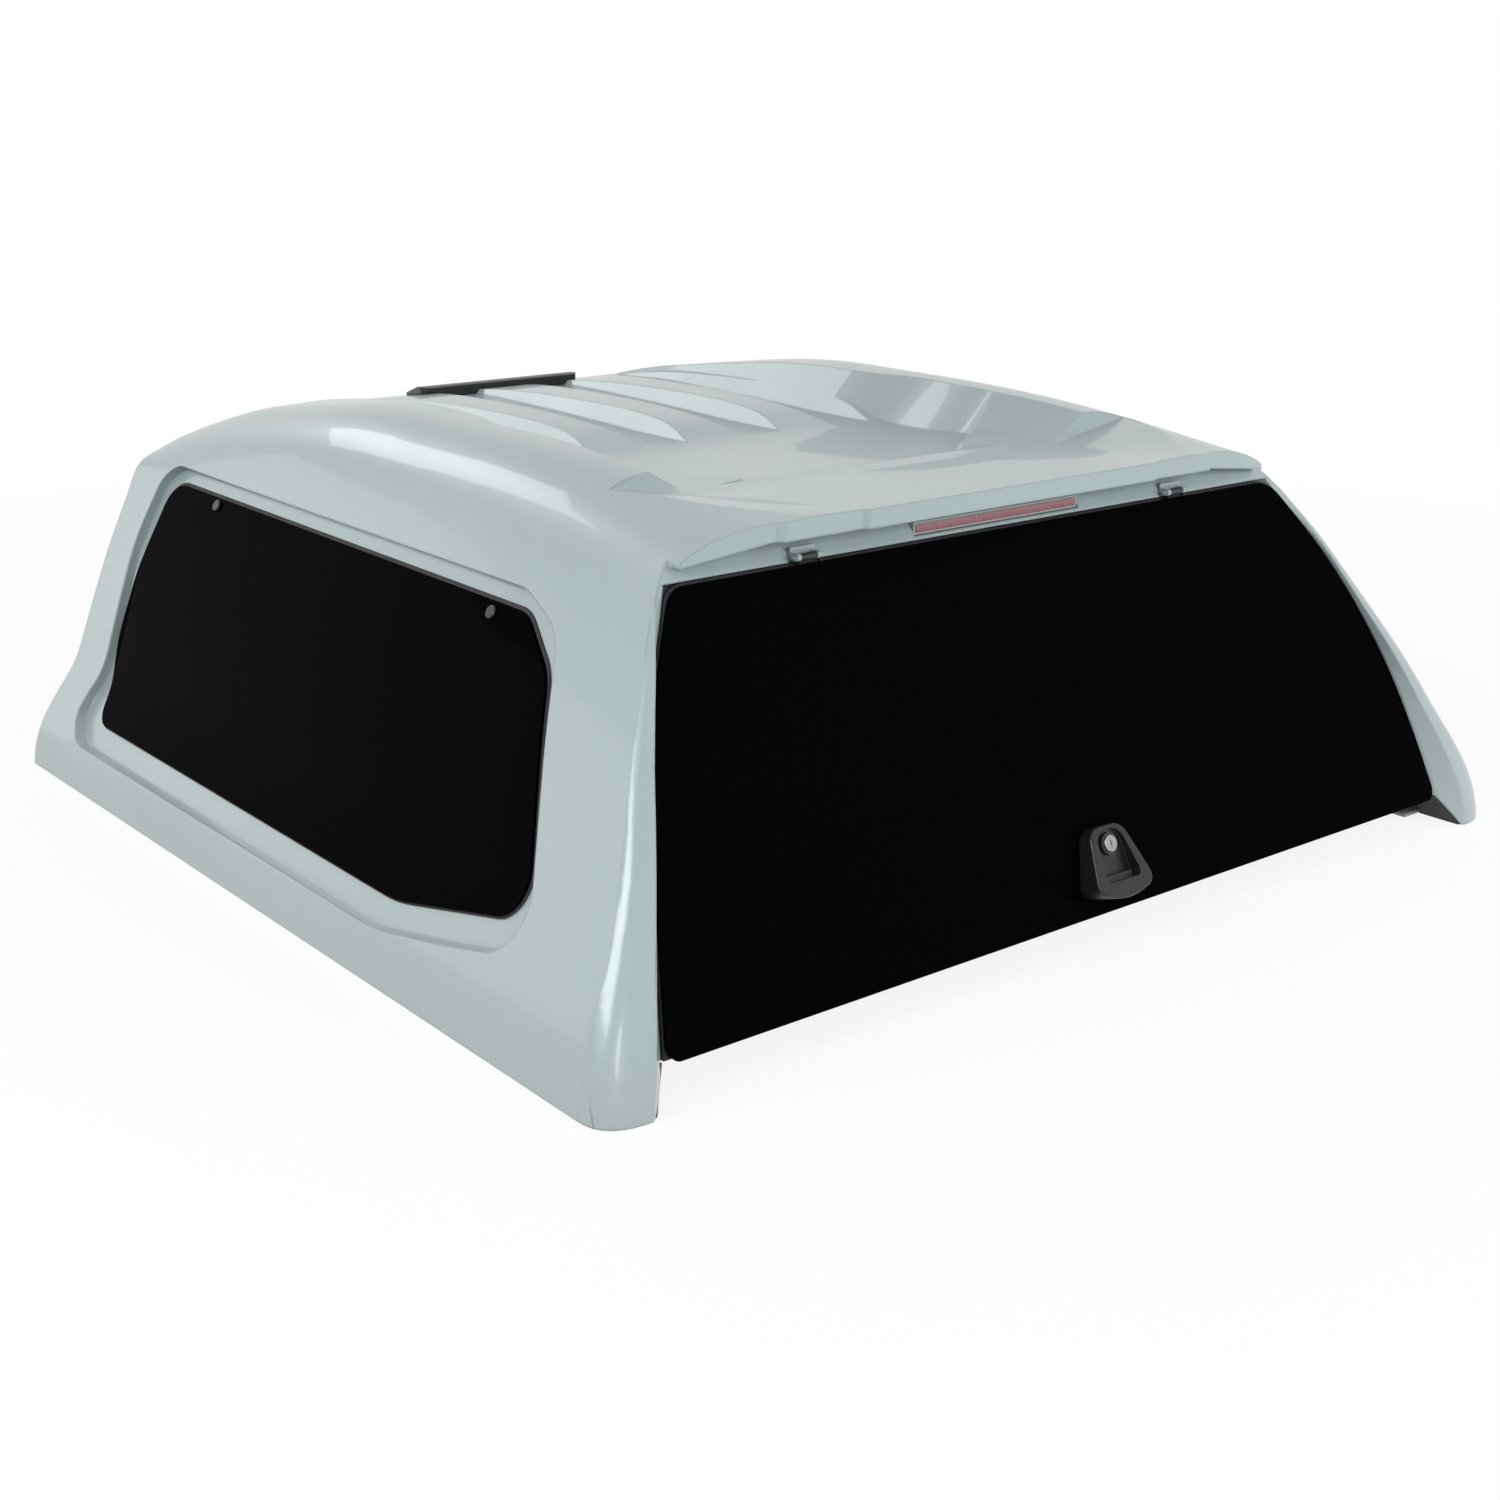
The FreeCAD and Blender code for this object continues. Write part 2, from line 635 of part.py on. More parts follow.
def side_glass(side):
    x0, x1 = (400, 900) if side > 0 else (-900, -400)
    plate = outline_yz(SIDE_GLASS, x0, x1)
    return side_slab(side, REVEAL_DEPTH, REVEAL_DEPTH + SIDE_THICK).common(plate)


def front_mouth():
    return rounded_prism(grown(FRONT_GLASS, -FRONT_FLANGE), lambda x, z: V(x, FRONT_Y - 60, z), V(0, 120, 0))


def base_opening():
    """The opening inside the inward flange that rests on the sides of the load bed."""
    return Part.makeBox(2 * FLANGE_HALF, 2200, 2 * FLANGE_THICK, V(-FLANGE_HALF, FRONT_Y - 60 - 2200, -FLANGE_THICK / 2))


def notch(side):
    """Room in the header for one door hinge."""
    width = 2 * (KNUCKLE_HALF + 12)
    return Part.makeBox(width, 60, 30, V(side * HINGE_X - width / 2, NOTCH_Y - 60, 500))


def lamp_pocket():
    return Part.makeBox(2 * LAMP_HALF + 8, 60, LAMP_HIGH + 6, V(-LAMP_HALF - 4, LAMP_Y - 60, LAMP_Z - LAMP_HIGH / 2 - 3))


def rear_glass():
    return glass_sheet(GLASS_THICK, 0.0).common(door_prism(0.0, GLASS_CORNER, foot=GLASS_FOOT))


def door_seal():
    """The rubber frame between the flange and the rear glass, open at the base."""
    ring = door_prism(GLASS_GAP - SEAL_PLAY, GLASS_CORNER, low=FOOT_TOP[1] + 1.0, high=HEADER_LOW - 1.5)
    ring = ring.cut(door_prism(-SEAL_IN, GLASS_CORNER - 12, low=-40.0))
    seal = glass_sheet(FLANGE_SHIFT, GLASS_THICK + SEAL_GAP).common(ring)
    skim = glass_sheet(GLASS_THICK + SEAT + LEAF_THICK + 1.0, 0.0)
    gaps = []
    for side in (-1, 1):
        gaps.append(Part.makeBox(50, 200, 100, V(side * HINGE_X - 25, -700, 440)).common(skim))
    return seal.cut(gaps)


def window_seal(side):
    """The rubber bed under one side glass."""
    x0, x1 = (400, 900) if side > 0 else (-900, -400)
    ring = outline_yz(grown(SIDE_GLASS, 4), x0, x1)
    ring = ring.cut(outline_yz(grown(SIDE_GLASS, -WINDOW_FLANGE + 4), x0, x1))
    near = REVEAL_DEPTH + SIDE_THICK
    return side_slab(side, near, near + SEAL_BED).common(ring)


def front_seal():
    y = FRONT_Y - WALL
    outer = rounded_prism(grown(FRONT_GLASS, 3), lambda x, z: V(x, y - SEAL_BED, z), V(0, SEAL_BED, 0))
    hole = grown(FRONT_GLASS, -FRONT_FLANGE + 3)
    return outer.cut(rounded_prism(hole, lambda x, z: V(x, y - 20, z), V(0, 40, 0)))


def front_glass():
    y = FRONT_Y - WALL - SEAL_BED
    return rounded_prism(FRONT_GLASS, lambda x, z: V(x, y - FRONT_THICK, z), V(0, FRONT_THICK, 0))


def hinge_bracket(side):
    """The fixed half: a plate on the header with two lugs about the pin."""
    x = side * HINGE_X
    half = KNUCKLE_HALF + 8
    solid = Part.makeBox(2 * half, 2.6, 15, V(x - half, NOTCH_Y - 2.6, HINGE_Z - 4))
    lugs = []
    for x0 in (x - half, x + KNUCKLE_HALF + 0.8):
        wide = half - KNUCKLE_HALF - 0.8
        block = Part.makeBox(wide, NOTCH_Y - 1 - HINGE_Y, 2 * KNUCKLE_R - 1.2, V(x0, HINGE_Y, HINGE_Z - KNUCKLE_R + 0.6))
        lugs.append(block.fuse(Part.makeCylinder(KNUCKLE_R, wide, V(x0, HINGE_Y, HINGE_Z), V(1, 0, 0))))
    solid = solid.fuse(lugs)
    bore = Part.makeCylinder(HINGE_PIN_R + SEAT, 60, V(x - 30, HINGE_Y, HINGE_Z), V(1, 0, 0))
    return solid.cut(bore).removeSplitter()


def hinge_pin(side):
    x = side * HINGE_X
    half = KNUCKLE_HALF + 8
    pin = Part.makeCylinder(HINGE_PIN_R, 2 * half + 1, V(x - half - 0.5, HINGE_Y, HINGE_Z), V(1, 0, 0))
    heads = []
    for x0 in (x - half - 1.8, x + half + 0.3):
        heads.append(Part.makeCylinder(HINGE_PIN_R + 1.2, 1.5, V(x0, HINGE_Y, HINGE_Z), V(1, 0, 0)))
    return pin.fuse(heads)


def glass_frame(z):
    """Placement on the outer face of the rear glass: X across, Y up the glass, Z outward."""
    d = 4.0
    y0, y1 = glass_y(z - d), glass_y(z + d)
    up = V(0, y1 - y0, 2 * d)
    up.normalize()
    out = V(0, -up.z, up.y)
    across = V(1, 0, 0)
    m = FreeCAD.Matrix(across.x, up.x, out.x, 0, across.y, up.y, out.y, glass_y(z), across.z, up.z, out.z, z, 0, 0, 0, 1)
    return FreeCAD.Placement(m)


def placed(shape, z):
    shape = shape.copy()
    shape.Placement = glass_frame(z).multiply(shape.Placement)
    return shape


def hinge_leaf(side):
    """The moving half: a knuckle with a leaf that passes over the glass edge and down its inner face."""
    x = side * HINGE_X
    w = 2 * KNUCKLE_HALF
    knuckle = Part.makeCylinder(KNUCKLE_R, w, V(x - KNUCKLE_HALF, HINGE_Y, HINGE_Z), V(1, 0, 0))
    inner = glass_points(GLASS_THICK + SEAT)
    outer = glass_points(GLASS_THICK + SEAT + LEAF_THICK)

    def at(points, z):
        return (table(points, z), z)

    top = GLASS_TOP[1] - 2.0
    plate = [at(inner, top - 46), at(inner, top), (HINGE_Y - 1.0, HINGE_Z - 3.5), (HINGE_Y + 3.6, HINGE_Z - 0.5)]
    plate += [at(outer, top - 1), at(outer, top - 46)]
    leaf = extrude_x(plate, x - KNUCKLE_HALF, x + KNUCKLE_HALF)
    pad = [at(inner, top - 46), at(inner, top - 14), at(outer, top - 14), at(outer, top - 46)]
    pad = extrude_x(pad, x - KNUCKLE_HALF - 8, x + KNUCKLE_HALF + 8)
    glass = glass_sheet(GLASS_THICK + SEAT, -SEAT)
    glass = glass.common(Part.makeBox(2000, 2000, GLASS_TOP[1] + SEAT, V(-1000, -1500, 0)))
    solid = knuckle.fuse([leaf, pad]).cut(glass)
    bore = Part.makeCylinder(HINGE_PIN_R + SEAT, w + 2, V(x - KNUCKLE_HALF - 1, HINGE_Y, HINGE_Z), V(1, 0, 0))
    return solid.cut(bore).removeSplitter()


def lock_plate(rows, low, high):
    """A flat rounded plate in the frame of the lock, between two heights above the glass."""
    return rounded_prism(rows, lambda x, y: V(x, y, low), V(0, 0, high - low))


def lock_space(lift):
    """The space above the sloping front face of the lock, lifted or sunk along the glass normal."""
    y0, y1 = LOCK_OUTLINE[1][1], LOCK_OUTLINE[-1][1]
    slope = (LOCK_HIGH - LOCK_LOW) / (y1 - y0)
    pts = [(y0 - 30, LOCK_LOW - 30 * slope + lift), (y1 + 30, LOCK_HIGH + 30 * slope + lift)]
    pts += [(y1 + 30, 120), (y0 - 30, 120)]
    wire = [V(-100, y, z) for y, z in pts]
    return Part.Face(Part.makePolygon(wire + [wire[0]])).extrude(V(200, 0, 0))


def lock_housing():
    """The moulded housing of the lock: a wedge with a sunk pocket for the barrel and a finger ledge."""
    body = lock_plate(LOCK_OUTLINE, SEAT + 0.4, 80).cut(lock_space(0.0))
    rim = [e for e in body.Faces if e.CenterOfMass.z > 15 and e.normalAt(0, 0).z > 0.8]
    body = body.makeFillet(3.0, rim[0].Edges)
    floor = LOCK_FACE
    body = body.cut(lock_plate(LOCK_POCKET, floor, 80))
    bar = Part.makeBox(52, 13, 9, V(-26, -44, floor)).cut(lock_space(-7.0))
    edges = [e for e in bar.Edges if e.BoundBox.XLength > 50 and e.BoundBox.ZMin > floor + 3]
    bar = bar.makeFillet(2.0, edges)
    seat = Part.makeCylinder(BUTTON_R + 3.0 + SEAT, 60, V(0, LOCK_UP, 3), V(0, 0, 1))
    return body.fuse(bar).cut(seat).removeSplitter()


def lock_collar():
    tube = Part.makeCylinder(BUTTON_R + 3.0, LOCK_FACE + 5 - 3.2, V(0, LOCK_UP, 3.2), V(0, 0, 1))
    return tube.cut(Part.makeCylinder(BUTTON_R + SEAT, 60, V(0, LOCK_UP, 5.2), V(0, 0, 1)))


def lock_button():
    """The round push button with its keyway."""
    low = 5.2 + BUTTON_TRAVEL * 1000 + 1.5
    top = LOCK_FACE + 8.0
    body = Part.makeCylinder(BUTTON_R, top - low, V(0, LOCK_UP, low), V(0, 0, 1))
    rim = [e for e in body.Edges if e.BoundBox.ZMin > top - 1 and e.Closed and e.BoundBox.ZLength < 0.1]
    body = body.makeFillet(1.2, rim)
    key = Part.makeBox(1.8, 9, 5, V(-0.9, LOCK_UP - 4.5, top - 3.0))
    return body.cut(key)


def latch_case():
    """The inner body of the lock, behind the glass."""
    plate = Part.makeBox(96, 54, 16, V(-48, -30, -GLASS_THICK - SEAT - 16.4))
    edges = [e for e in plate.Edges if e.BoundBox.ZLength > 15]
    return plate.makeFillet(8, edges)


def lamp_housing():
    """The tray of the brake light in its pocket."""
    z0 = LAMP_Z - LAMP_HIGH / 2 - 2
    tray = Part.makeBox(2 * LAMP_HALF + 6, 9, LAMP_HIGH + 4, V(-LAMP_HALF - 3, LAMP_Y - 9, z0))
    return tray.cut(Part.makeBox(2 * LAMP_HALF, 20, LAMP_HIGH, V(-LAMP_HALF, LAMP_Y - 23, LAMP_Z - LAMP_HIGH / 2)))


def lamp_lens():
    z0 = LAMP_Z - LAMP_HIGH / 2
    pts = [(LAMP_Y - 3.2, z0 + 0.2), (LAMP_Y - 3.2, z0 + LAMP_HIGH - 0.2), (LAMP_Y - 9, z0 + LAMP_HIGH - 0.2)]
    pts += [(LAMP_Y - 10.5, z0 + LAMP_HIGH / 2), (LAMP_Y - 9, z0 + 0.2)]
    return extrude_x(pts, -LAMP_HALF + 0.2, LAMP_HALF - 0.2)


def trough_z(y):
    """Height of the trough floor, which is also the top of the ribs."""
    rows = sorted((r[0], r[2]) for r in TROUGH)
    return table([(z, at) for at, z in rows], y)


def roof_vent():
    """The low vent across the front of the roof; its base fills the flutes between the ribs."""
    slim = 10.0
    plan = [(-VENT_HALF, VENT_REAR, 12), (VENT_HALF, VENT_REAR, 12), (VENT_HALF - slim, VENT_FRONT, 12)]
    plan.append((-VENT_HALF + slim, VENT_FRONT, 12))
    block = rounded_prism(plan, lambda x, y: V(x, y, 500), V(0, 0, 100))
    z_rear = trough_z(VENT_REAR) + VENT_HIGH
    z_front = trough_z(VENT_FRONT) + 4.0
    top = [(VENT_REAR - 5, z_rear - 3), (VENT_REAR + 6, z_rear), (VENT_REAR + 22, z_rear - 0.5), (VENT_FRONT + 5, z_front - 2)]
    top += [(VENT_FRONT + 5, 480), (VENT_REAR - 5, 480)]
    room = roof_trough(-SEAT).fuse(flutes(-SEAT))
    return block.common(extrude_x(top, -300, 300)).common(room)


def side_point(y, z):
    """Outer side skin at (y, z) on the right: place and outward normal."""
    x = skin_x(y, z)
    n = V(1.0, -(skin_x(y + 5, z) - skin_x(y - 5, z)) / 10.0, -(skin_x(y, z + 4) - skin_x(y, z - 4)) / 8.0)
    n.normalize()
    return V(x, y, z), n


def glass_cap(side, y, z):
    """A round cap of a side window hinge on the glass."""
    p, n = side_point(y, z)
    p, n = V(side * p.x, p.y, p.z), V(side * n.x, n.y, n.z)
    base = p - n * (REVEAL_DEPTH - 0.6)
    cap = Part.makeCylinder(9.0, 4.0, base, n)
    far = [e for e in cap.Edges if e.Closed and (e.CenterOfMass - base).Length > 2]
    return cap.makeFillet(1.5, far)


def save(name, shape):
    solids = shape.Solids
    if len(solids) == 1:
        shape = solids[0].copy()
    shape.translate(V(0, -(FRONT_Y + REAR_Y) / 2, 0))
    os.makedirs("parts", exist_ok=True)
    shape.exportStep("parts/" + name + ".step")
    print(name, len(solids), shape.isValid(), round(shape.Volume / 1e3), "cm3", len(shape.Faces))


def main():
    save("outer_shell", outer_shell())
    save("rear_glass", rear_glass())
    save("door_seal", door_seal())
    save("front_glass", front_glass())
    save("front_seal", front_seal())
    for side, name in ((-1, "left"), (1, "right")):
        save("side_glass_" + name, side_glass(side))
        save("side_seal_" + name, window_seal(side))
        save("foot_seal_" + name, foot_seal(side))
        save("side_cap_front_" + name, glass_cap(side, CAP_FRONT_Y, CAP_Z))
        save("side_cap_rear_" + name, glass_cap(side, CAP_REAR_Y, CAP_Z - 8))
        save("hinge_bracket_" + name, hinge_bracket(side))
        save("hinge_pin_" + name, hinge_pin(side))
        save("hinge_leaf_" + name, hinge_leaf(side))
    save("lock_housing", placed(lock_housing(), LOCK_Z))
    save("lock_collar", placed(lock_collar(), LOCK_Z))
    save("lock_button", placed(lock_button(), LOCK_Z))
    save("latch_case", placed(latch_case(), LOCK_Z))
    save("brake_light_tray", lamp_housing())
    save("brake_light_lens", lamp_lens())
    save("roof_vent", roof_vent())


main()
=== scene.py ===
import math

import bmesh
import bpy
from bpy.props import FloatProperty, FloatVectorProperty, PointerProperty
from mathutils import Matrix, Vector

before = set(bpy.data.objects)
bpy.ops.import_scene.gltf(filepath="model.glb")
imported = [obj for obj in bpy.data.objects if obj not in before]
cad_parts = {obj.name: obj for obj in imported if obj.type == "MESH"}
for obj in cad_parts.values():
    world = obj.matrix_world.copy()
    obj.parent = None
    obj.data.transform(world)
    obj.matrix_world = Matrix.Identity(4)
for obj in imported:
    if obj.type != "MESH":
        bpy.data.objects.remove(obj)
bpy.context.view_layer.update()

bl_info = {
    "name": "Pickup Canopy",
    "version": (1, 0, 0),
    "blender": (4, 5, 0),
    "location": "3D View > Sidebar > Canopy",
    "description": "Finishes a load bed canopy with fluted roof, tinted windows and glass rear door",
    "category": "Object",
}


# finishes, with lengths in metres
PAINT_EDGE = 0.005
PLASTIC_EDGE = 0.0025
EDGE_SAMPLES = 6
FLAKES_PER_METRE = 2600.0
DUST_TOP = 0.12
DUST_MOST = 0.35
DUST_COLOUR = (0.42, 0.43, 0.41, 1.0)
SPECK_COLOUR = (0.012, 0.012, 0.012, 1.0)
RUBBER_COLOUR = (0.012, 0.012, 0.013, 1.0)
RUBBER_CLEAN = (0.009, 0.009, 0.01, 1.0)
RUBBER_DUSTY = (0.02, 0.02, 0.021, 1.0)
GRAINS_PER_METRE = 1400.0
STEEL_COLOUR = (0.018, 0.018, 0.019, 1.0)
PIN_COLOUR = (0.55, 0.55, 0.56, 1.0)
CHROME_COLOUR = (0.4, 0.4, 0.42, 1.0)
LENS_FLUTES = 60.0

# floor, backdrop, camera and lamps
WHITE = (1.0, 1.0, 1.0, 1.0)
ROOM_COLOUR = (0.86, 0.89, 0.9, 1.0)
FLOOR_COLOUR = (0.86, 0.87, 0.87, 1.0)
FLOOR_REACH = 30.0
SHADOW_INNER = 1.1
SHADOW_OUTER = 3.2
SHADOW_WHITE = 0.86
SENSOR_WIDTH = 36.0
CAMERA_PLACE = (-2.029, -2.4835, 1.088)
CAMERA_TURN = math.radians(-39.81)
CAMERA_DIP = math.radians(17.69)
CAMERA_ROLL = math.radians(0.51)

# name, place, aim, width and height, share of the key light, whether reflections show it
LAMPS = (
    ("key_soft", (-3.8, -0.4, 2.6), (0, 0, 0.3), (2.6, 1.2), 1.0, True),
    ("rear_strip", (-2.4, -3.4, 1.5), (-0.5, -0.7, 0.2), (0.4, 1.3), 0.2, True),
    ("front_soft", (-0.66, 4.6, 3.7), (0, 0, 0.4), (1.45, 1.9), 0.4, True),
    ("side_soft", (-3.2, 4.0, 1.2), (-0.8, 0, 0.4), (3.4, 1.8), 0.2, True),
    ("right_soft", (1.6, -3.9, 1.6), (0, -0.5, 0.5), (2.8, 1.4), 1.2, False),
)


class CanopyPaint(bpy.types.PropertyGroup):
    """Colours of the painted moulding."""

    body: FloatVectorProperty(
        name="Body Colour",
        description="Silver of the painted moulding",
        subtype="COLOR",
        size=4,
        min=0.0,
        max=1.0,
        default=(0.318, 0.375, 0.378, 1.0),
    )
    peel: FloatProperty(
        name="Orange Peel",
        description="Width of the slow ripple in the clear coat",
        subtype="DISTANCE",
        unit="LENGTH",
        default=0.012,
    )


class CanopyTrim(bpy.types.PropertyGroup):
    """Colours of glass, rubber and plastic."""

    glass: FloatVectorProperty(
        name="Glass Tint",
        description="Colour of the tinted safety glass",
        subtype="COLOR",
        size=4,
        min=0.0,
        max=1.0,
        default=(0.0012, 0.0012, 0.0014, 1.0),
    )
    plastic: FloatVectorProperty(
        name="Black Plastic",
        description="Colour of the moulded plastic of the lock and the vent",
        subtype="COLOR",
        size=4,
        min=0.0,
        max=1.0,
        default=(0.0075, 0.0075, 0.008, 1.0),
    )
    lens: FloatVectorProperty(
        name="Lamp Lens",
        description="Colour of the brake light lens",
        subtype="COLOR",
        size=4,
        min=0.0,
        max=1.0,
        default=(0.34, 0.16, 0.17, 1.0),
    )


class CanopyStage(bpy.types.PropertyGroup):
    """The camera and the light round the object."""

    lens: FloatProperty(
        name="Camera Lens",
        description="Focal length of the camera",
        subtype="DISTANCE_CAMERA",
        default=52.0,
    )
    fill: FloatProperty(
        name="Room Light",
        description="Strength of the even light of the room",
        default=0.54,
    )
    key: FloatProperty(
        name="Key Light",
        description="Power of the large lamp on the left, which the other lamps are a share of",
        default=82.0,
    )


def new_material(name, colour, roughness, metallic=0.0):
    """A node material with a Principled shader, and its nodes, links and shader."""
    mat = bpy.data.materials.new(name)
    mat.use_nodes = True
    tree = mat.node_tree
    shader = tree.nodes["Principled BSDF"]
    shader.inputs["Base Color"].default_value = colour
    shader.inputs["Roughness"].default_value = roughness
    shader.inputs["Metallic"].default_value = metallic
    return mat, tree.nodes, tree.links, shader


def noise(nodes, links, scale, detail, rough=0.55):
    """A noise pattern that is fixed to the object."""
    place = nodes.new("ShaderNodeTexCoord")
    made = nodes.new("ShaderNodeTexNoise")
    made.inputs["Scale"].default_value = scale
    made.inputs["Detail"].default_value = detail
    made.inputs["Roughness"].default_value = rough
    links.new(place.outputs["Object"], made.inputs["Vector"])
    return made


def spread(nodes, links, source, low, high, from_low=0.35, from_high=0.65):
    """Source values from from_low to from_high spread over low to high."""
    made = nodes.new("ShaderNodeMapRange")
    made.inputs["From Min"].default_value = from_low
    made.inputs["From Max"].default_value = from_high
    made.inputs["To Min"].default_value = low
    made.inputs["To Max"].default_value = high
    links.new(source, made.inputs["Value"])
    return made


def shaded(nodes, links, source, dark, light, at=(0.35, 0.65)):
    """A colour between dark and light after a source value."""
    ramp = nodes.new("ShaderNodeValToRGB")
    ramp.color_ramp.elements[0].color = dark
    ramp.color_ramp.elements[1].color = light
    ramp.color_ramp.elements[0].position = at[0]
    ramp.color_ramp.elements[1].position = at[1]
    links.new(source, ramp.inputs["Fac"])
    return ramp


def bump(nodes, links, shader, source, strength, distance, before=None):
    """Relief of the surface after a source value, laid over the normals of an earlier node."""
    made = nodes.new("ShaderNodeBump")
    made.inputs["Strength"].default_value = strength
    made.inputs["Distance"].default_value = distance
    links.new(source, made.inputs["Height"])
    if before is not None:
        links.new(before.outputs["Normal"], made.inputs["Normal"])
    links.new(made.outputs["Normal"], shader.inputs["Normal"])
    return made


def dull(nodes, links, shader, source, low, high):
    """Roughness between low and high after a source value."""
    made = spread(nodes, links, source, low, high)
    links.new(made.outputs["Result"], shader.inputs["Roughness"])


def soft_edge(nodes, radius):
    """Normals that run round the moulded edges at the given radius."""
    made = nodes.new("ShaderNodeBevel")
    made.samples = EDGE_SAMPLES
    made.inputs["Radius"].default_value = radius
    return made


def tone(colour, factor):
    """The colour made lighter or darker by a factor."""
    return tuple(min(1.0, c * factor) for c in colour[:3]) + (1.0,)


def body_paint(colour, peel):
    """Silver paint: fine metal flake under a clear coat with a slow ripple, and road dust low down."""
    mat, nodes, links, shader = new_material("body_paint", colour, roughness=0.34, metallic=0.12)
    shader.inputs["Specular IOR Level"].default_value = 0.3
    shader.inputs["Coat Weight"].default_value = 0.38
    shader.inputs["Coat Roughness"].default_value = 0.04
    shader.inputs["Coat IOR"].default_value = 1.5
    place = nodes.new("ShaderNodeTexCoord")
    flake = nodes.new("ShaderNodeTexVoronoi")
    flake.inputs["Scale"].default_value = FLAKES_PER_METRE
    links.new(place.outputs["Object"], flake.inputs["Vector"])
    film = noise(nodes, links, scale=3.0, detail=5.0)
    dark, light = tone(colour, 0.93), tone(colour, 1.07)
    grain = shaded(nodes, links, flake.outputs["Distance"], dark, light, at=(0.1, 0.7))
    patch = shaded(nodes, links, film.outputs["Fac"], tone(colour, 0.97), tone(colour, 1.03))
    mix = nodes.new("ShaderNodeMix")
    mix.data_type = "RGBA"
    mix.inputs["Factor"].default_value = 0.5
    links.new(grain.outputs["Color"], mix.inputs["A"])
    links.new(patch.outputs["Color"], mix.inputs["B"])
    low = nodes.new("ShaderNodeSeparateXYZ")
    links.new(place.outputs["Object"], low.inputs["Vector"])
    dust = noise(nodes, links, scale=45.0, detail=6.0, rough=0.65)
    height = spread(nodes, links, low.outputs["Z"], DUST_MOST, 0.0, from_low=0.0, from_high=DUST_TOP)
    film_low = nodes.new("ShaderNodeMath")
    film_low.operation = "MULTIPLY"
    links.new(height.outputs["Result"], film_low.inputs[0])
    links.new(dust.outputs["Fac"], film_low.inputs[1])
    dusty = nodes.new("ShaderNodeMix")
    dusty.data_type = "RGBA"
    dusty.inputs["B"].default_value = DUST_COLOUR
    links.new(film_low.outputs["Value"], dusty.inputs["Factor"])
    links.new(mix.outputs["Result"], dusty.inputs["A"])
    links.new(dusty.outputs["Result"], shader.inputs["Base Color"])
    dull(nodes, links, shader, film.outputs["Fac"], low=0.3, high=0.38)
    ripple = noise(nodes, links, scale=1.0 / peel, detail=2.0)
    edge = soft_edge(nodes, PAINT_EDGE)
    wave = bump(nodes, links, shader, ripple.outputs["Fac"], strength=0.05, distance=0.0004, before=edge)
    links.new(wave.outputs["Normal"], shader.inputs["Coat Normal"])
    return mat


def tinted_glass(colour):
    """Nearly black polished glass with wiping marks and a few dust specks."""
    mat, nodes, links, shader = new_material("tinted_glass", colour, roughness=0.03)
    shader.inputs["IOR"].default_value = 1.45
    shader.inputs["Specular IOR Level"].default_value = 0.004
    wipe = noise(nodes, links, scale=6.0, detail=6.0, rough=0.6)
    dull(nodes, links, shader, wipe.outputs["Fac"], low=0.02, high=0.07)
    specks = noise(nodes, links, scale=420.0, detail=2.0)
    skin = shaded(nodes, links, specks.outputs["Fac"], colour, SPECK_COLOUR, at=(0.72, 0.8))
    links.new(skin.outputs["Color"], shader.inputs["Base Color"])
    bump(nodes, links, shader, wipe.outputs["Fac"], strength=0.02, distance=0.0003)
    return mat


def seal_rubber():
    """Matt black rubber with a fine skin and dusty patches."""
    mat, nodes, links, shader = new_material("seal_rubber", RUBBER_COLOUR, roughness=0.7)
    fine = noise(nodes, links, scale=900.0, detail=3.0)
    dust = noise(nodes, links, scale=25.0, detail=4.0)
    skin = shaded(nodes, links, dust.outputs["Fac"], RUBBER_CLEAN, RUBBER_DUSTY)
    links.new(skin.outputs["Color"], shader.inputs["Base Color"])
    bump(nodes, links, shader, fine.outputs["Fac"], strength=0.25, distance=0.0004)
    return mat


def grained_plastic(colour):
    """Satin black plastic with fine grain, edges that catch the light, and a faint bloom of use."""
    mat, nodes, links, shader = new_material("black_plastic", colour, roughness=0.36)
    cells = nodes.new("ShaderNodeTexVoronoi")
    cells.feature = "DISTANCE_TO_EDGE"
    cells.inputs["Scale"].default_value = GRAINS_PER_METRE
    place = nodes.new("ShaderNodeTexCoord")
    links.new(place.outputs["Object"], cells.inputs["Vector"])
    wear = noise(nodes, links, scale=160.0, detail=5.0)
    skin = shaded(nodes, links, wear.outputs["Fac"], tone(colour, 0.88), tone(colour, 1.15))
    links.new(skin.outputs["Color"], shader.inputs["Base Color"])
    dull(nodes, links, shader, wear.outputs["Fac"], low=0.3, high=0.4)
    edge = soft_edge(nodes, PLASTIC_EDGE)
    bump(nodes, links, shader, cells.outputs["Distance"], strength=0.16, distance=0.0002, before=edge)
    return mat


def bare_metal(name, colour, roughness, scratches):
    """Turned or plated metal with fine scratches."""
    mat, nodes, links, shader = new_material(name, colour, roughness, metallic=1.0)
    fine = noise(nodes, links, scale=scratches, detail=6.0, rough=0.7)
    dull(nodes, links, shader, fine.outputs["Fac"], low=roughness * 0.7, high=roughness * 1.5)
    bump(nodes, links, shader, fine.outputs["Fac"], strength=0.08, distance=0.0002)
    return mat


def coated_steel():
    """Steel under black powder coat with a fine, uneven skin."""
    mat, nodes, links, shader = new_material("black_steel", STEEL_COLOUR, roughness=0.38)
    shader.inputs["Coat Weight"].default_value = 0.2
    fine = noise(nodes, links, scale=260.0, detail=4.0)
    dull(nodes, links, shader, fine.outputs["Fac"], low=0.3, high=0.48)
    bump(nodes, links, shader, fine.outputs["Fac"], strength=0.15, distance=0.0003)
    return mat


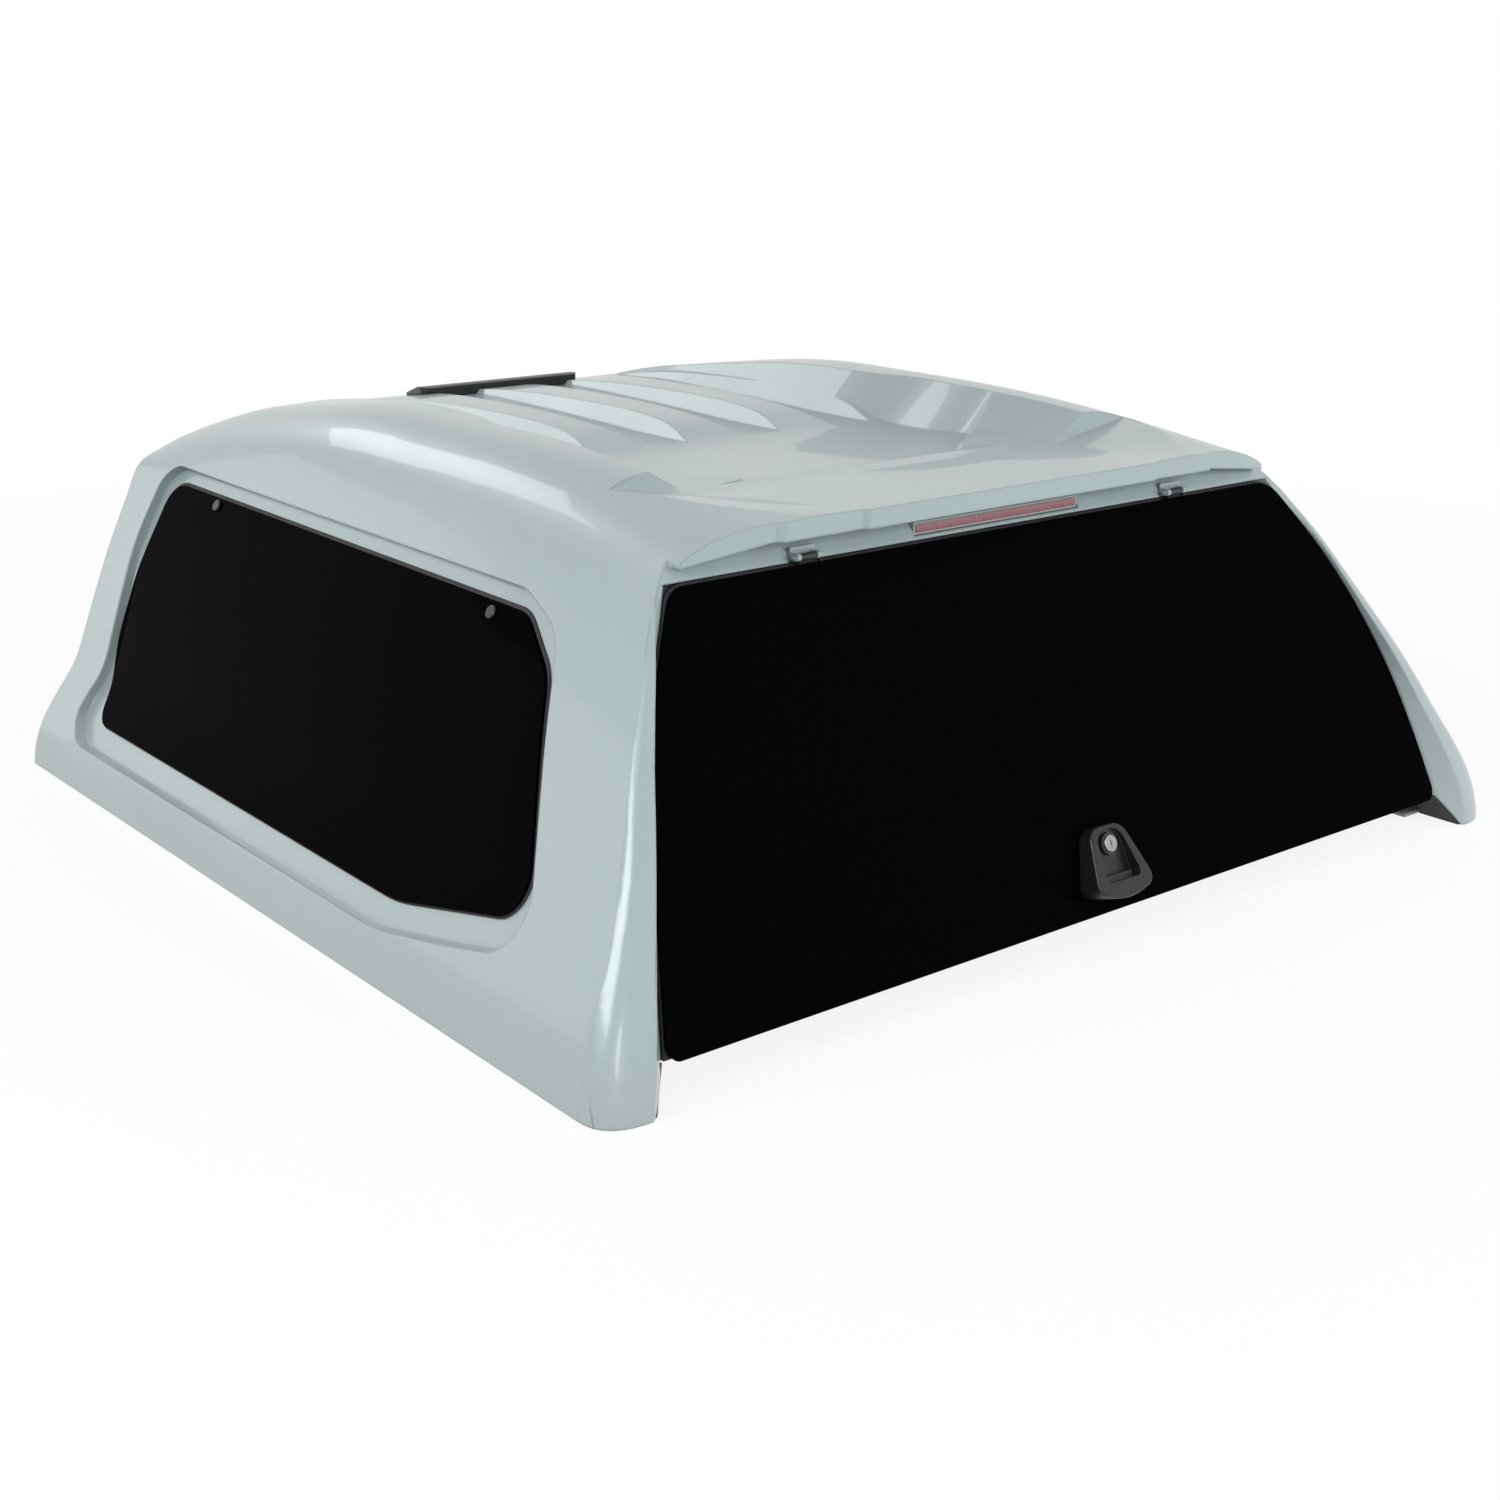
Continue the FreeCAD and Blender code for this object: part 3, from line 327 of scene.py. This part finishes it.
def lamp_lens(colour):
    """Pale red lens with fine upright flutes that spread the light."""
    mat, nodes, links, shader = new_material("lamp_lens", colour, roughness=0.12)
    shader.inputs["IOR"].default_value = 1.49
    shader.inputs["Transmission Weight"].default_value = 0.25
    place = nodes.new("ShaderNodeTexCoord")
    flutes = nodes.new("ShaderNodeTexWave")
    flutes.bands_direction = "X"
    flutes.inputs["Scale"].default_value = LENS_FLUTES
    links.new(place.outputs["Object"], flutes.inputs["Vector"])
    skin = shaded(nodes, links, flutes.outputs["Fac"], tone(colour, 0.8), tone(colour, 1.1), at=(0.0, 1.0))
    links.new(skin.outputs["Color"], shader.inputs["Base Color"])
    bump(nodes, links, shader, flutes.outputs["Fac"], strength=0.4, distance=0.0006)
    return mat


def lamp_tray(colour):
    """Painted tray of the brake light, a shade darker than the moulding."""
    mat, nodes, links, shader = new_material("lamp_tray", tone(colour, 0.9), roughness=0.35)
    fine = noise(nodes, links, scale=300.0, detail=3.0)
    dull(nodes, links, shader, fine.outputs["Fac"], low=0.28, high=0.42)
    return mat


def dress(finish, *names):
    """Gives the named CAD nodes one finish."""
    for name in names:
        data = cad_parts[name].data
        data.materials.clear()
        data.materials.append(finish)


def both(*stems):
    """The names of the left and the right piece of each pair."""
    return [stem + "_" + side for stem in stems for side in ("left", "right")]


class CANOPY_OT_moulding(bpy.types.Operator):
    """Paint the one-piece moulding"""

    bl_idname = "canopy.moulding"
    bl_label = "Moulding"

    def execute(self, context):
        scene = context.scene
        paint = body_paint(scene.canopy_paint.body, scene.canopy_paint.peel)
        dress(paint, "outer_shell", *both("hinge_bracket"))
        return {"FINISHED"}


class CANOPY_OT_glazing(bpy.types.Operator):
    """Finish the windows, the rear door glass and their rubber seals"""

    bl_idname = "canopy.glazing"
    bl_label = "Glazing"

    def execute(self, context):
        trim = context.scene.canopy_trim
        dress(tinted_glass(trim.glass), "rear_glass", "front_glass", *both("side_glass"))
        dress(seal_rubber(), "door_seal", "front_seal", *both("side_seal", "foot_seal"))
        return {"FINISHED"}


class CANOPY_OT_fittings(bpy.types.Operator):
    """Finish the lock, the hinges, the caps, the vent and the brake light"""

    bl_idname = "canopy.fittings"
    bl_label = "Fittings"

    def execute(self, context):
        scene = context.scene
        trim = scene.canopy_trim
        plastic = grained_plastic(trim.plastic)
        caps = both("side_cap_front", "side_cap_rear")
        dress(plastic, "lock_housing", "latch_case", "roof_vent", *caps)
        dress(coated_steel(), "lock_collar", *both("hinge_leaf"))
        pins = bare_metal("pin_steel", PIN_COLOUR, roughness=0.3, scratches=180.0)
        dress(pins, *both("hinge_pin"))
        chrome = bare_metal("lock_chrome", CHROME_COLOUR, roughness=0.22, scratches=240.0)
        dress(chrome, "lock_button")
        dress(lamp_lens(trim.lens), "brake_light_lens")
        dress(lamp_tray(scene.canopy_paint.body), "brake_light_tray")
        return {"FINISHED"}


def area_light(name, place, aim, size, power, shines=True):
    """A soft box. One that doesn't shine lights the object and stays out of its reflections."""
    data = bpy.data.lights.new(name, "AREA")
    data.shape = "RECTANGLE"
    data.size, data.size_y = size
    data.energy = power
    lamp = bpy.data.objects.new(name, data)
    lamp.location = place
    lamp.visible_glossy = shines
    lamp.rotation_euler = (Vector(aim) - Vector(place)).to_track_quat("-Z", "Y").to_euler()
    bpy.context.scene.collection.objects.link(lamp)


def backdrop_rays(nodes, links):
    """One where the camera, a reflection or clear glass sees the backdrop, nought for its light."""
    path = nodes.new("ShaderNodeLightPath")
    seen = path.outputs["Is Camera Ray"]
    for ray in ("Is Glossy Ray", "Is Transmission Ray"):
        larger = nodes.new("ShaderNodeMath")
        larger.operation = "MAXIMUM"
        links.new(seen, larger.inputs[0])
        links.new(path.outputs[ray], larger.inputs[1])
        seen = larger.outputs["Value"]
    return seen


def floor_material():
    """Pale floor, nearly white to the camera, with the object's soft shadow close to it."""
    mat, nodes, links, shader = new_material("studio_floor", FLOOR_COLOUR, roughness=0.6)
    glow = nodes.new("ShaderNodeEmission")
    glow.inputs["Color"].default_value = WHITE
    glow.inputs["Strength"].default_value = 1.0
    place = nodes.new("ShaderNodeTexCoord")
    far = nodes.new("ShaderNodeVectorMath")
    far.operation = "LENGTH"
    links.new(place.outputs["Object"], far.inputs[0])
    white = spread(nodes, links, far.outputs["Value"], SHADOW_WHITE, 1.0, SHADOW_INNER, SHADOW_OUTER)
    soft = nodes.new("ShaderNodeMixShader")
    part = nodes.new("ShaderNodeMath")
    part.operation = "MULTIPLY"
    links.new(backdrop_rays(nodes, links), part.inputs[0])
    links.new(white.outputs["Result"], part.inputs[1])
    links.new(part.outputs["Value"], soft.inputs["Fac"])
    links.new(shader.outputs["BSDF"], soft.inputs[1])
    links.new(glow.outputs["Emission"], soft.inputs[2])
    links.new(soft.outputs["Shader"], nodes["Material Output"].inputs["Surface"])
    grain = noise(nodes, links, scale=60.0, detail=3.0)
    bump(nodes, links, shader, grain.outputs["Fac"], strength=0.05, distance=0.0005)
    return mat


def studio_world(strength):
    """White backdrop for the camera and the reflections, an even soft light on the object."""
    world = bpy.data.worlds.new("studio")
    world.use_nodes = True
    nodes, links = world.node_tree.nodes, world.node_tree.links
    back = nodes["Background"]
    back.inputs["Color"].default_value = ROOM_COLOUR
    back.inputs["Strength"].default_value = strength
    white = nodes.new("ShaderNodeBackground")
    white.inputs["Color"].default_value = WHITE
    white.inputs["Strength"].default_value = 1.0
    mix = nodes.new("ShaderNodeMixShader")
    links.new(backdrop_rays(nodes, links), mix.inputs["Fac"])
    links.new(back.outputs["Background"], mix.inputs[1])
    links.new(white.outputs["Background"], mix.inputs[2])
    links.new(mix.outputs["Shader"], nodes["World Output"].inputs["Surface"])
    return world


def lay_floor(scene):
    """A flat floor for the stage, apart from the pieces of the canopy."""
    bm = bmesh.new()
    bmesh.ops.create_grid(bm, x_segments=1, y_segments=1, size=FLOOR_REACH)
    mesh = bpy.data.meshes.new("studio_floor")
    bm.to_mesh(mesh)
    bm.free()
    mesh.materials.append(floor_material())
    floor = bpy.data.objects.new("studio_floor", mesh)
    scene.collection.objects.link(floor)


def place_camera(scene, lens):
    """The camera at the photograph's place, turned, dipped and rolled as the photograph was."""
    data = bpy.data.cameras.new("studio_camera")
    data.sensor_width = SENSOR_WIDTH
    data.lens = lens
    camera = bpy.data.objects.new("studio_camera", data)
    camera.location = CAMERA_PLACE
    turn = Matrix.Rotation(CAMERA_TURN, 4, "Z")
    tilt = Matrix.Rotation(math.pi / 2 - CAMERA_DIP, 4, "X")
    roll = Matrix.Rotation(CAMERA_ROLL, 4, "Z")
    camera.rotation_euler = (turn @ tilt @ roll).to_euler()
    scene.collection.objects.link(camera)
    scene.camera = camera


class CANOPY_OT_stage(bpy.types.Operator):
    """Set the floor, the soft studio light and the camera"""

    bl_idname = "canopy.stage"
    bl_label = "Stage"

    def execute(self, context):
        scene = context.scene
        setting = scene.canopy_stage
        lay_floor(scene)
        scene.world = studio_world(setting.fill)
        for name, place, aim, size, share, shines in LAMPS:
            area_light(name, place, aim, size, share * setting.key, shines)
        place_camera(scene, setting.lens)
        scene.view_settings.view_transform = "Standard"
        return {"FINISHED"}


class CANOPY_PT_panel(bpy.types.Panel):
    """The canopy's pieces in the sidebar"""

    bl_label = "Canopy"
    bl_idname = "CANOPY_PT_panel"
    bl_space_type = "VIEW_3D"
    bl_region_type = "UI"
    bl_category = "Canopy"

    def draw(self, context):
        scene = context.scene
        for group in (scene.canopy_paint, scene.canopy_trim, scene.canopy_stage):
            box = self.layout.box()
            for key in group.bl_rna.properties.keys():
                if key not in ("rna_type", "name"):
                    box.prop(group, key)
        for piece in OPERATORS:
            self.layout.operator(piece.bl_idname)


OPERATORS = (CANOPY_OT_moulding, CANOPY_OT_glazing, CANOPY_OT_fittings, CANOPY_OT_stage)
CLASSES = (CanopyPaint, CanopyTrim, CanopyStage, *OPERATORS, CANOPY_PT_panel)


def register():
    for cls in CLASSES:
        bpy.utils.register_class(cls)
    bpy.types.Scene.canopy_paint = PointerProperty(type=CanopyPaint)
    bpy.types.Scene.canopy_trim = PointerProperty(type=CanopyTrim)
    bpy.types.Scene.canopy_stage = PointerProperty(type=CanopyStage)


def unregister():
    del bpy.types.Scene.canopy_stage
    del bpy.types.Scene.canopy_trim
    del bpy.types.Scene.canopy_paint
    for cls in reversed(CLASSES):
        bpy.utils.unregister_class(cls)


def main():
    register()
    bpy.ops.canopy.moulding()
    bpy.ops.canopy.glazing()
    bpy.ops.canopy.fittings()
    bpy.ops.canopy.stage()


if __name__ == "__main__":
    main()
